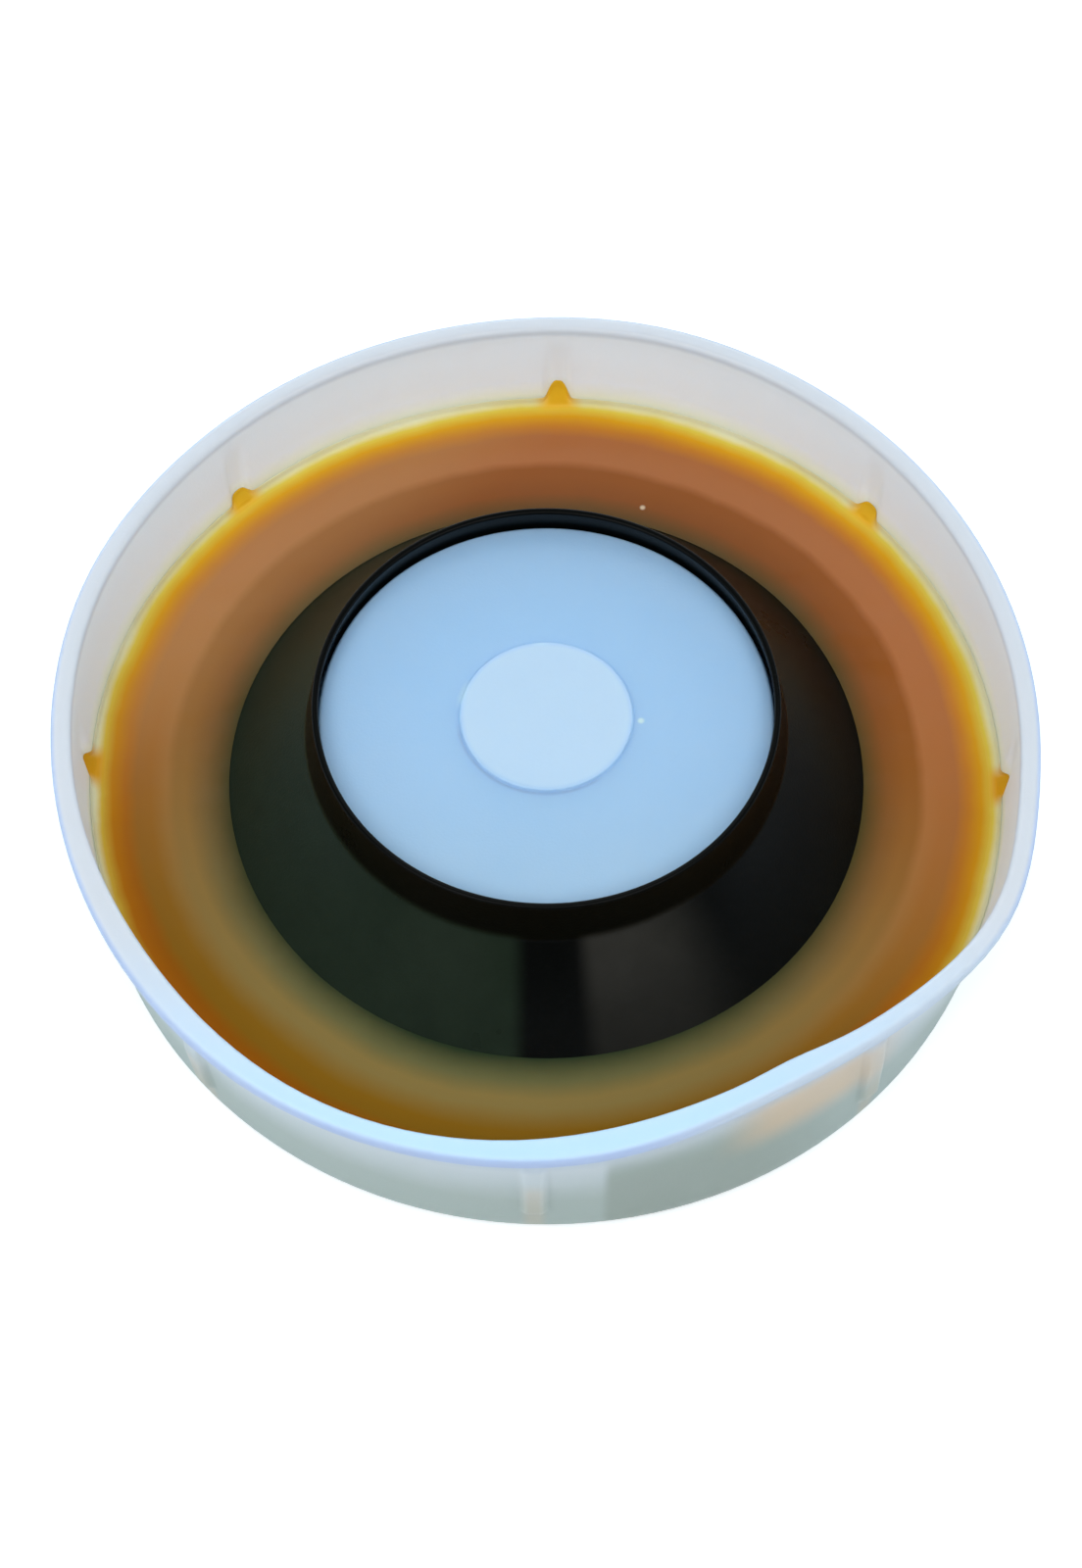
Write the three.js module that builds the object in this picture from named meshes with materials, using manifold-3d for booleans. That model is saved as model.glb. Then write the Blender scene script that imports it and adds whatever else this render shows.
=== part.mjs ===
// Toilet pan seal: a wax ring cast round a plastic horn, in its moulded tub.
// Millimetres, +Z up. The origin is on the axis, in the plane of the tub's foot.
// The seal is stored upside down: the horn that enters the drain points up.

import * as THREE from "three";
import { mergeVertices } from "three/addons/utils/BufferGeometryUtils.js";
import Module from "manifold-3d";

const wasm = await Module();
wasm.setup();

// Tub: one thin moulding, from the rim through the wall and floor to the pedestal
const TUB_HEIGHT = 34.6;
const TUB_WALL = 1.1;
const RIM_OUTER_RADIUS = 75.4;
const RIM_WIDTH = 3.0;
const RIM_THICKNESS = 2.2;
const RIM_EDGE_ROUND = 1.0;
const WALL_DRAFT = 6.3; // degrees
const FLOOR_CORNER_ROUND = 4.0;

// Flutes: hollow ribs that stiffen the wall, open towards the wax
const FLUTE_COUNT = 8;
const FLUTE_TURN = -1.5; // degrees from +X to the first one
const FLUTE_RADIUS = 1.6;
const FLUTE_DEPTH = 1.0;
const FLUTE_WALL = 0.8;
const FLUTE_TOP_SETBACK = 2.5; // below the rim's underside
const FLUTE_FOOT_HEIGHT = 8.0;

// Pedestal: the tub's hollow middle, which carries and centres the horn
const DISC_ABOVE_RIM = 0.7;
const DISC_EDGE_ROUND = 0.6;
const PEDESTAL_SHOULDER_WIDTH = 3.8;
const PEDESTAL_DRAFT = 7.0; // degrees
const PEDESTAL_FOOT_ROUND = 3.0;
const PAD_RADIUS = 13.2;
const PAD_HEIGHT = 0.6;
const PAD_EDGE_ROUND = 0.3;

// Horn: a short tube that flares into a cone, with a flange held in the wax
const HORN_ABOVE_DISC = 4.2;
const HORN_END_RADIUS = 35.6;
const HORN_TUBE_TAPER = 1.2; // growth of the radius down to the cone
const HORN_WALL = 1.1;
const HORN_TUBE_LENGTH = 7.9;
const HORN_CONE_SLOPE = 49.0; // degrees from level
const HORN_NECK_ROUND = 1.6;
const HORN_FLANGE_RADIUS = 60.0;
const HORN_FLANGE_HEIGHT = 10.5; // foot plane to the flange's upper face
const HORN_FLANGE_ROUND = 4.0;

// Wax: poured to one level, creeping up the wall and further up in the flutes
const WAX_LEVEL = 17.5;
const WAX_CREEP = 1.2;
const WAX_EAR_HEIGHT = 4.2;
const WAX_EAR_DEPTH = 1.0;
const WAX_FILM = 0.3;

// Clearances between the pieces
const HORN_SEAT_GAP = 0.3;
const HORN_BORE_CLEARANCE = 0.4;
const WAX_GAP = 0.3;

// The rim is out of round: pushed in at the front right, pushed out beside that.
// Each row is a smooth push: where it is and how wide, in degrees, and how far, in mm.
const RIM_PUSHES = [
  { at: -61, spread: 14, push: -3.5 },
  { at: -26, spread: 9, push: 2.1 },
  { at: -125, spread: 16, push: 0.9 },
  { at: 20, spread: 18, push: -0.5 },
  { at: 77, spread: 12, push: 0.7 },
  { at: 160, spread: 12, push: 0.6 },
];

// Fineness of the facets
const AROUND = 64;
const AROUND_HORN = 48;
const ARC_STEP = 30; // degrees
const SMALL_ROUND = 0.8; // roundings under this are one facet wide
const FLUTE_SIDES = 8;
const FLUTE_CAP_RINGS = 2;

const radians = THREE.MathUtils.degToRad;

// Sizes that follow from the ones above
const floorTop = TUB_WALL;
const rimInnerRadius = RIM_OUTER_RADIUS - RIM_WIDTH;
const wallSlope = Math.tan(radians(WALL_DRAFT));
const pedestalSlope = Math.tan(radians(PEDESTAL_DRAFT));
const coneSlope = Math.tan(radians(HORN_CONE_SLOPE));
const discHeight = TUB_HEIGHT + DISC_ABOVE_RIM;
const hornHeight = discHeight + HORN_ABOVE_DISC;
const tubeSlope = HORN_TUBE_TAPER / HORN_TUBE_LENGTH;
const boreAtDisc = HORN_END_RADIUS + HORN_ABOVE_DISC * tubeSlope - HORN_WALL;
const discRadius = boreAtDisc - HORN_BORE_CLEARANCE;
const neckRadius = HORN_END_RADIUS + HORN_TUBE_TAPER;
const neckHeight = hornHeight - HORN_TUBE_LENGTH;
const shoulderRadius = discRadius + PEDESTAL_SHOULDER_WIDTH;

// Radius of the wall's inner face at a height
function wallRadius(height) {
  return rimInnerRadius - (TUB_HEIGHT - height) * wallSlope;
}

// Height of the horn's outer cone at a radius
function coneHeight(radius) {
  return neckHeight - (radius - neckRadius) * coneSlope;
}

// Height of the pedestal's shoulder at a radius: it runs under the cone, a seat gap away
function shoulderHeight(radius) {
  const below = (HORN_WALL + HORN_SEAT_GAP) / Math.cos(radians(HORN_CONE_SLOPE));
  return coneHeight(radius) - below;
}

// Radius of the pedestal's outer face at a height
function pedestalRadius(height) {
  return shoulderRadius + (shoulderHeight(shoulderRadius) - height) * pedestalSlope;
}

// Outlines
// An outline is a list of corners in the (radius, height) plane, each with a rounding.

function corner(radius, height, round = 0) {
  return { point: new THREE.Vector2(radius, height), round };
}

function unit(from, to) {
  return new THREE.Vector2().subVectors(to, from).normalize();
}

function leftOf(direction) {
  return new THREE.Vector2(-direction.y, direction.x);
}

// Where two lines cross, each given by a point and a direction
function crossing(pointA, directionA, pointB, directionB) {
  const between = new THREE.Vector2().subVectors(pointB, pointA);
  const along = between.cross(directionB) / directionA.cross(directionB);
  return pointA.clone().addScaledVector(directionA, along);
}

// Moves every side of an outline to its left, and keeps its roundings concentric
function offset(corners, distance, closed = false) {
  const count = corners.length;
  const moved = (index, direction) =>
    corners[index].point.clone().addScaledVector(leftOf(direction), distance);
  return corners.map((item, index) => {
    const before = corners[(index + count - 1) % count].point;
    const after = corners[(index + 1) % count].point;
    const arriving = unit(before, item.point);
    const leaving = unit(item.point, after);
    if (!closed && index === 0) {
      return { point: moved(index, leaving), round: 0 };
    }
    if (!closed && index === count - 1) {
      return { point: moved(index, arriving), round: 0 };
    }
    const turn = Math.sign(arriving.cross(leaving));
    const point = crossing(moved(index, arriving), arriving, moved(index, leaving), leaving);
    return { point, round: Math.max(item.round - turn * distance, 0) };
  });
}

// The points of the arc that rounds one corner
function roundCorner(before, item, after) {
  const back = unit(item.point, before);
  const forward = unit(item.point, after);
  const half = Math.acos(THREE.MathUtils.clamp(back.dot(forward), -1, 1)) / 2;
  if (item.round === 0 || half > Math.PI / 2 - 0.01) {
    return [item.point];
  }
  const room = 0.48 * Math.min(item.point.distanceTo(before), item.point.distanceTo(after));
  const tangent = Math.min(item.round / Math.tan(half), room);
  const radius = tangent * Math.tan(half);
  const inward = back.clone().add(forward).normalize();
  const centre = item.point.clone().addScaledVector(inward, radius / Math.sin(half));
  const start = item.point.clone().addScaledVector(back, tangent).sub(centre);
  const end = item.point.clone().addScaledVector(forward, tangent).sub(centre);
  const sweep = Math.atan2(start.cross(end), start.dot(end));
  const facets = Math.round(Math.abs(sweep) / radians(ARC_STEP));
  const steps = radius < SMALL_ROUND ? 1 : Math.max(facets, 1);
  const turnTo = (step) => start.clone().rotateAround(new THREE.Vector2(), (sweep * step) / steps);
  return Array.from({ length: steps + 1 }, (_, step) => turnTo(step).add(centre));
}

// All points of an outline, with the corners rounded
function trace(corners, closed) {
  const count = corners.length;
  return corners.flatMap((item, index) => {
    if (!closed && (index === 0 || index === count - 1)) {
      return [item.point];
    }
    const before = corners[(index + count - 1) % count].point;
    const after = corners[(index + 1) % count].point;
    return roundCorner(before, item, after);
  });
}

// Solids

// A closed solid from a closed geometry: shared vertices merged, empty triangles dropped
function solidFrom(geometry) {
  const bare = geometry.clone();
  bare.deleteAttribute("normal");
  bare.deleteAttribute("uv");
  const merged = mergeVertices(bare, 1e-4);
  const index = Array.from(merged.index.array);
  const kept = [];
  for (let i = 0; i < index.length; i += 3) {
    const [a, b, c] = index.slice(i, i + 3);
    if (a !== b && b !== c && c !== a) {
      kept.push(a, b, c);
    }
  }
  const vertProperties = new Float32Array(merged.attributes.position.array);
  const triVerts = new Uint32Array(kept);
  return new wasm.Manifold(new wasm.Mesh({ numProp: 3, vertProperties, triVerts }));
}

function geometryFrom(solid) {
  const mesh = solid.getMesh();
  const geometry = new THREE.BufferGeometry();
  geometry.setAttribute("position", new THREE.BufferAttribute(mesh.vertProperties, 3));
  geometry.setIndex(new THREE.BufferAttribute(mesh.triVerts, 1));
  return geometry;
}

// Turns an outline about the axis. The outline runs with its material on the left.
function revolve(corners, segments, ring) {
  const points = trace(corners, ring);
  if (ring) {
    points.push(points[0].clone());
  }
  const geometry = new THREE.LatheGeometry(points, segments, radians(FLUTE_TURN));
  geometry.rotateX(Math.PI / 2);
  return solidFrom(geometry);
}

function addAll(first, others) {
  return others.reduce((sum, other) => sum.add(other), first);
}

function cutAll(first, others) {
  return others.reduce((rest, other) => rest.subtract(other), first);
}

// A round-ended bar that leans with the wall, at each flute
function fluteBars(radius, lowEnd, highEnd) {
  const length = (highEnd - lowEnd) / Math.cos(radians(WALL_DRAFT)) - 2 * radius;
  const middle = (lowEnd + highEnd) / 2;
  const axisRadius = wallRadius(middle) + FLUTE_DEPTH - FLUTE_RADIUS;
  const bars = [];
  for (let i = 0; i < FLUTE_COUNT; i += 1) {
    const bar = new THREE.CapsuleGeometry(radius, length, FLUTE_CAP_RINGS, FLUTE_SIDES);
    bar.rotateX(Math.PI / 2);
    bar.rotateY(radians(WALL_DRAFT));
    bar.translate(axisRadius, 0, middle);
    bar.rotateZ(radians(FLUTE_TURN + (360 * i) / FLUTE_COUNT));
    bars.push(solidFrom(bar));
  }
  return bars;
}

// Out-of-round rim

// How far the rim is pushed out at an angle, in degrees
function rimPush(angle) {
  return RIM_PUSHES.reduce((sum, item) => {
    const away = THREE.MathUtils.euclideanModulo(angle - item.at + 180, 360) - 180;
    return sum + item.push * Math.exp(-0.5 * (away / item.spread) ** 2);
  }, 0);
}

// The push fades down the straight of the wall, and inwards to the horn's flange
function pushWall(geometry) {
  const position = geometry.attributes.position;
  const still = floorTop + FLOOR_CORNER_ROUND;
  for (let i = 0; i < position.count; i += 1) {
    const x = position.getX(i);
    const y = position.getY(i);
    const radius = Math.hypot(x, y);
    const rise = THREE.MathUtils.clamp((position.getZ(i) - still) / (TUB_HEIGHT - still), 0, 1);
    const reach = THREE.MathUtils.smoothstep(radius, HORN_FLANGE_RADIUS, wallRadius(floorTop));
    const push = rimPush(THREE.MathUtils.radToDeg(Math.atan2(y, x))) * rise * reach;
    const scale = radius > 0 ? (radius + push) / radius : 1;
    position.setXY(i, x * scale, y * scale);
  }
  return geometry;
}

// Tub

// The skin that faces the horn and the wax, from the axis out to the rim
function innerSkin() {
  return [
    corner(0, discHeight),
    corner(discRadius, discHeight, DISC_EDGE_ROUND),
    corner(discRadius, shoulderHeight(discRadius), DISC_EDGE_ROUND),
    corner(shoulderRadius, shoulderHeight(shoulderRadius), PEDESTAL_FOOT_ROUND),
    corner(pedestalRadius(floorTop), floorTop, PEDESTAL_FOOT_ROUND),
    corner(wallRadius(floorTop), floorTop, FLOOR_CORNER_ROUND),
    corner(rimInnerRadius, TUB_HEIGHT, RIM_EDGE_ROUND),
  ];
}

function makeTub() {
  const inside = innerSkin();
  const outside = offset(inside, -TUB_WALL).slice(0, -1);
  const lipHeight = TUB_HEIGHT - RIM_THICKNESS;
  const wallOuterRadius = wallRadius(lipHeight) + TUB_WALL / Math.cos(radians(WALL_DRAFT));
  const rim = [
    corner(RIM_OUTER_RADIUS, TUB_HEIGHT, RIM_EDGE_ROUND),
    corner(RIM_OUTER_RADIUS, lipHeight, RIM_EDGE_ROUND / 2),
    corner(wallOuterRadius, lipHeight),
  ];
  const shell = revolve([...inside, ...rim, ...outside.reverse()].reverse(), AROUND, false);
  const top = hornHeight;
  const room = [...inside, corner(rimInnerRadius, top), corner(0, top)];
  const cavity = revolve(room, AROUND, false);
  const fluteTop = lipHeight - FLUTE_TOP_SETBACK;
  const ribFoot = FLUTE_FOOT_HEIGHT - FLUTE_WALL;
  const ribs = fluteBars(FLUTE_RADIUS + FLUTE_WALL, ribFoot, fluteTop + FLUTE_WALL);
  const channels = fluteBars(FLUTE_RADIUS, FLUTE_FOOT_HEIGHT, fluteTop);
  const pad = revolve([
    corner(0, discHeight - TUB_WALL / 2),
    corner(PAD_RADIUS, discHeight - TUB_WALL / 2),
    corner(PAD_RADIUS, discHeight + PAD_HEIGHT, PAD_EDGE_ROUND),
    corner(0, discHeight + PAD_HEIGHT),
  ], AROUND_HORN, false);
  return cutAll(addAll(shell, ribs).subtract(cavity), channels).add(pad);
}

// Horn

function hornOutline() {
  const flangeStart = neckRadius + (neckHeight - HORN_FLANGE_HEIGHT) / coneSlope;
  const outside = [
    corner(HORN_END_RADIUS, hornHeight),
    corner(neckRadius, neckHeight, HORN_NECK_ROUND),
    corner(flangeStart, HORN_FLANGE_HEIGHT, HORN_FLANGE_ROUND),
    corner(HORN_FLANGE_RADIUS, HORN_FLANGE_HEIGHT),
  ];
  const inside = offset(outside, -HORN_WALL);
  const edges = [...outside, ...inside.reverse()];
  const tips = [0, 3, 4, 7];
  return edges.map((item, index) =>
    tips.includes(index) ? { ...item, round: HORN_WALL * 0.4 } : item);
}

function makeHorn() {
  return revolve(hornOutline().reverse(), AROUND_HORN, true);
}

// Wax

function makeWax() {
  const low = floorTop + WAX_GAP;
  const crest = WAX_LEVEL + WAX_CREEP;
  const crestRadius = wallRadius(crest) - WAX_GAP;
  const filled = revolve([
    corner(pedestalRadius(WAX_LEVEL) + WAX_GAP, WAX_LEVEL),
    corner(pedestalRadius(low) + WAX_GAP, low, PEDESTAL_FOOT_ROUND),
    corner(wallRadius(low) - WAX_GAP, low, FLOOR_CORNER_ROUND),
    corner(crestRadius, crest),
    corner(crestRadius - WAX_FILM, crest),
    corner(wallRadius(WAX_LEVEL) - WAX_GAP - WAX_FILM, WAX_LEVEL, WAX_CREEP),
  ], AROUND, true);
  const earTop = WAX_LEVEL + WAX_EAR_HEIGHT;
  const clear = revolve([
    corner(0, WAX_LEVEL),
    corner(wallRadius(WAX_LEVEL) - WAX_EAR_DEPTH, WAX_LEVEL),
    corner(wallRadius(TUB_HEIGHT) - WAX_EAR_DEPTH, TUB_HEIGHT),
    corner(0, TUB_HEIGHT),
  ], AROUND, false);
  const ears = fluteBars(FLUTE_RADIUS - WAX_GAP, FLUTE_FOOT_HEIGHT + WAX_GAP, earTop)
    .map((bar) => bar.subtract(clear));
  const hornRoom = revolve(offset(hornOutline(), WAX_GAP, true).reverse(), AROUND_HORN, true);
  return addAll(filled, ears).subtract(hornRoom);
}

// The seal

function piece(name, geometry, color, roughness) {
  const material = new THREE.MeshStandardMaterial({ color, roughness, metalness: 0 });
  const mesh = new THREE.Mesh(geometry, material);
  mesh.name = name;
  return mesh;
}

const seal = new THREE.Group();
seal.name = "toilet_pan_seal";
seal.add(piece("tub", pushWall(geometryFrom(makeTub())), 0xdde6f0, 0.35));
seal.add(piece("wax_ring", pushWall(geometryFrom(makeWax())), 0x98591f, 0.15));
seal.add(piece("horn", geometryFrom(makeHorn()), 0x15181a, 0.4));

export default seal;
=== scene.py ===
# Visual model of a toilet pan seal: a wax ring cast round a black horn, in its frosted tub.
# Metres, +Z up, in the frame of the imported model: the origin is on the axis, at the tub's foot.

from math import acos, atan2, ceil, cos, degrees, exp, hypot, pi, radians, sin, tan

import bpy
from mathutils import Matrix, Vector


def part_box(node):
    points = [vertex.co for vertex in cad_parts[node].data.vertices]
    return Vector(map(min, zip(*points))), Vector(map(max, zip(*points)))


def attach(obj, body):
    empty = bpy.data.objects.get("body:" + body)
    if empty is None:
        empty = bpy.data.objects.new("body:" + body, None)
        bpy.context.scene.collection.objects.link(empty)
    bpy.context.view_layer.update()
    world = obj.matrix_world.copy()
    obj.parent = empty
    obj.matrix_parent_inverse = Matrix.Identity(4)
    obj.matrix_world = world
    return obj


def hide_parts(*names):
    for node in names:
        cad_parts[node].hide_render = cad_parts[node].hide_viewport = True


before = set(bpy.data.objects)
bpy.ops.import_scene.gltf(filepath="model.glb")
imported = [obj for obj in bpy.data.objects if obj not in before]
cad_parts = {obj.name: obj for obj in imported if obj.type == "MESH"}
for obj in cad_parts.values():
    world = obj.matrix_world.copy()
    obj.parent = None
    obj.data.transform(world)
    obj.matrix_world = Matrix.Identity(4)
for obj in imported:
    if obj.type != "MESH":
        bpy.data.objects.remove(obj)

bl_info = {
    "name": "Toilet Pan Seal",
    "version": (1, 0, 0),
    "blender": (4, 5, 0),
    "location": "3D View > Sidebar > Pan Seal",
    "description": "Models a wax pan seal with its horn, in the tub that it is cast in",
    "category": "Add Mesh",
}

MM = 0.001

# The rim is out of round: pushed in at the front right, pushed out beside that.
# Each row is a smooth push: where it is and how wide, in degrees, and how far, in mm.
RIM_PUSHES = [
    (-61, 14, -3.5),
    (-26, 9, 2.1),
    (-125, 16, 0.9),
    (20, 18, -0.5),
    (77, 12, 0.7),
    (160, 12, 0.6),
]

# In front, the rim's inner edge is rolled in further. Rows as above.
RIM_ROLLS = [
    (-82, 13, -1.4),
    (-58, 4, -0.6),
    (-142, 15, -1.1),
]

# A crease runs up the outside where the dent begins: the wall steps in and eases out again.
CREASE_PLACE = -83.0  # degrees
CREASE_RISE = 2.0  # degrees
CREASE_FADE = 9.0  # degrees
CREASE_DEPTH = 0.6  # mm

# The wax has risen higher in the flute behind than in the others.
HIGH_EAR_PLACE = 90.0  # degrees
HIGH_EAR_SPREAD = 20.0  # degrees
LOW_EAR_SHARE = 0.4

# Sectors of the dent's painted shade, the painted light on its lip, its stain, and the horn's
# painted sheen patch: the angles, in degrees, at which each begins to show, shows in full, begins
# to fade and is gone
DENT_WALL_SHADE = (CREASE_PLACE - 0.6, CREASE_PLACE + 1.0, -66, -44)
DENT_LIP_LIGHT = (-82, -64, -36, -20)
DENT_STAIN = (-70, -60, -51, -39)
HORN_SHEEN_PATCH = (-84, -79, -66, -48)

# How strongly wax shows through the wall: in the flutes, from 0 to full at these angles from a
# flute's middle, in degrees, and in the dent
FLUTE_STAIN = (1.9, 0.4)
FLUTE_STAIN_SHARE = 0.3
DENT_STAIN_SHARE = 0.75

# Where the painted light and shade of the front begin and where they are full, from the middle
# towards the back
FRONT_RIM_PAINTED_LIGHT = (-30 * MM, -74 * MM)
FRONT_DISC_PAINTED_LIGHT = (5 * MM, -32 * MM)
FRONT_WAX_PAINTED_SHADE = (40 * MM, -60 * MM)
FRONT_EARS_PAINTED_SHADE = (50 * MM, 0.0)

# Painted shade and painted highlights on the disc, beside the pad: angles in degrees, places and
# sizes in mm
PAD_SHADE = (-176, -48)
PAD_GLINT_BEHIND = (84, 103)
PAD_GLINT_LEFT = (148, 176)
PAD_PAINTED_LIGHT_FADE = 12
PAD_PAINTED_LIGHT_SHARE = 0.45
PIP_GLINT = (14.4, -0.6, 0.7)  # side, depth, size

# A painted highlight on a bubble in the wax: side, depth and size in mm
BUBBLE_GLINT = (15.4, 50.2, 0.6)
BUBBLE_GLINT_SHARE = 0.8

# Painted light on the wax, from where it begins to where it is full, towards the back and the left
BACK_LEFT_LIGHT = (60 * MM, 84 * MM)
BACK_LEFT_LIGHT_SHARE = 0.22

# An ear's own colour begins and is full at these angles from a flute's middle, in degrees.
EAR_COLOUR = (3.6, 1.0)

# Clouds shift the edges of all bands of colour by up to this much.
RAGGED = 0.6 * MM

# The horn has painted sheen on the left: none and full at these places.
SHEEN_LEFT = (-2.5 * MM, -6.0 * MM)

# How far light goes into the frosted moulding and the wax
LIGHT_DEPTH = 0.004

# How far a face turns away from level or upright before it counts as facing that way
FACING = 0.3

# The wax's bands of colour, from the horn to the wall. Each has a colour for the back and, for the
# front, a copy with painted shade and a painted greyish reflection near the horn. The colour
# changes in a step over the flange's edge, sharper at the back.
WAX_BANDS = ("cone", "thin", "flange", "middle", "deep", "bright", "edge")
BACK_STEP = 1.6 * MM
FRONT_STEP = 4.0 * MM

# Fineness of the meshes
FLUTE_SPAN = radians(4.5)
FLUTE_STEPS = 16
FLUTE_PRESSES = 4
PLAIN_STEPS = 16
HORN_STEPS = 192
ARC_STEP = radians(10)
WALL_STRETCH = 1.2 * MM
PLAIN_STRETCH = 4.0 * MM
MERGE_DISTANCE = 0.002 * MM
SMOOTH_ANGLE = radians(40)


# Properties


def display(red, green, blue):
    """A colour as it looks on screen, 0 to 255, as the linear values that a shader takes."""

    def linear(value):
        level = value / 255
        return level / 12.92 if level <= 0.04045 else ((level + 0.055) / 1.055) ** 2.4

    return linear(red), linear(green), linear(blue)


def length(name, millimetres, description):
    return bpy.props.FloatProperty(
        name=name,
        description=description,
        default=millimetres * MM,
        min=0.0,
        precision=4,
        unit="LENGTH",
    )


def slope(name, value, description):
    return bpy.props.FloatProperty(
        name=name, description=description, default=radians(value), subtype="ANGLE"
    )


def colour(name, red, green, blue, description):
    return bpy.props.FloatVectorProperty(
        name=name,
        description=description,
        default=display(red, green, blue),
        size=3,
        min=0.0,
        max=1.0,
        subtype="COLOR",
    )


def fraction(name, value, description):
    return bpy.props.FloatProperty(
        name=name, description=description, default=value, min=0.0, max=1.0, subtype="FACTOR"
    )


class TubSettings(bpy.types.PropertyGroup):
    height: length("Height", 34.6, "From the foot to the top of the rim")
    wall: length("Wall", 1.1, "Thickness of the moulding")
    rim_radius: length("Rim radius", 75.4, "Outer radius of the rim")
    rim_width: length("Rim width", 3.0, "From the rim's outer edge to its inner edge")
    rim_thickness: length("Rim thickness", 2.2, "Depth of the rim's outer band")
    rim_round: length("Rim rounding", 1.0, "Rounding of the rim's upper edges")
    wall_draft: slope("Wall draft", 6.3, "How far the wall leans outwards")
    floor_round: length("Floor rounding", 4.0, "Rounding between the floor and the wall")
    flute_count: bpy.props.IntProperty(
        name="Flutes", description="How many flutes the wall has", default=8, min=2
    )
    flute_turn: slope("Flute turn", -1.5, "From +X to the first flute")
    flute_flat: length("Flute flat", 1.1, "Half the width of a flute's flat")
    flute_reach: length("Flute reach", 1.5, "How wide a flute slopes beside its flat")
    flute_depth: length("Flute depth", 1.0, "How deep a flute is pressed into the wall")
    flute_foot: length("Flute foot", 8.0, "Height at which the flutes start")
    flute_setback: length("Flute setback", 0.8, "From the rim's underside to the flutes' tops")
    flute_fade: length("Flute fade", 8.0, "Height over which a flute fades out at its top")
    disc_above_rim: length("Disc above rim", 0.7, "From the top of the rim up to the disc")
    disc_round: length("Disc rounding", 0.6, "Rounding of the disc's edge")
    pad_radius: length("Pad radius", 13.2, "Radius of the raised pad on the disc")
    pad_height: length("Pad height", 0.6, "How far the pad stands up from the disc")
    pad_round: length("Pad rounding", 0.28, "Rounding of the pad's edge and of its foot")
    shoulder_width: length("Shoulder width", 3.8, "The ledge that the horn sits on")
    pedestal_draft: slope("Pedestal draft", 7.0, "How far the pedestal widens downwards")
    pedestal_round: length("Pedestal rounding", 3.0, "Rounding at the pedestal's shoulder and foot")
    wall_colour: colour("Wall colour", 244, 252, 255, "The wall above the wax")
    # Painted shade: the outside is a darker, shaded copy of the wall
    shaded_outside_colour: colour("Outside colour", 198, 208, 214, "The outside, above the wax")
    rim_colour: colour("Rim colour", 211, 215, 220, "The top of the rim")
    # Painted light: the rim's top is lighter and bluer in front
    painted_front_rim_colour: colour("Front rim colour", 194, 225, 253, "The rim's top, in front")
    # Painted shade: the rim's outer face is darker than its top
    lip_shade_colour: colour("Lip colour", 168, 186, 221, "The rim's outer face")
    # Painted light: the rim's outer face is lighter at the dent
    dent_lip_light_colour: colour("Dent lip colour", 192, 204, 218, "The rim's outer face at the dent")
    disc_colour: colour("Disc colour", 160, 202, 255, "The disc, over the dark horn")
    # Painted shade: the disc is a shaded copy in front
    painted_front_disc_colour: colour("Front disc colour", 164, 200, 236, "The disc, in front")
    pad_colour: colour("Pad colour", 190, 218, 250, "The pad in the middle of the disc")
    # Painted shade: the line round the pad's foot, in front
    pad_shade_colour: colour("Pad shade colour", 144, 172, 208, "The line round the pad, in front")
    # Painted highlights: two arcs beside the pad and a spot on its right
    pad_glint_colour: colour("Pad glint colour", 206, 238, 255, "The bright marks beside the pad")
    # Wax showing through the wall, with the outside's painted shade
    shaded_backed_colour: colour("Backed colour", 164, 180, 174, "The wall with wax behind it")
    # Painted shade: the outside is darker in the dent
    dent_shade_colour: colour("Dent colour", 146, 160, 151, "The backed wall in the dent")
    # Painted glow: the wax's warm light on the wall just above it
    glow_colour: colour("Glow colour", 240, 244, 214, "The wall just above the wax")
    stain_colour: colour("Stain colour", 214, 185, 149, "The wall where wax lies close to it")
    roughness: fraction("Roughness", 0.34, "Roughness of the frosted moulding")


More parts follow.
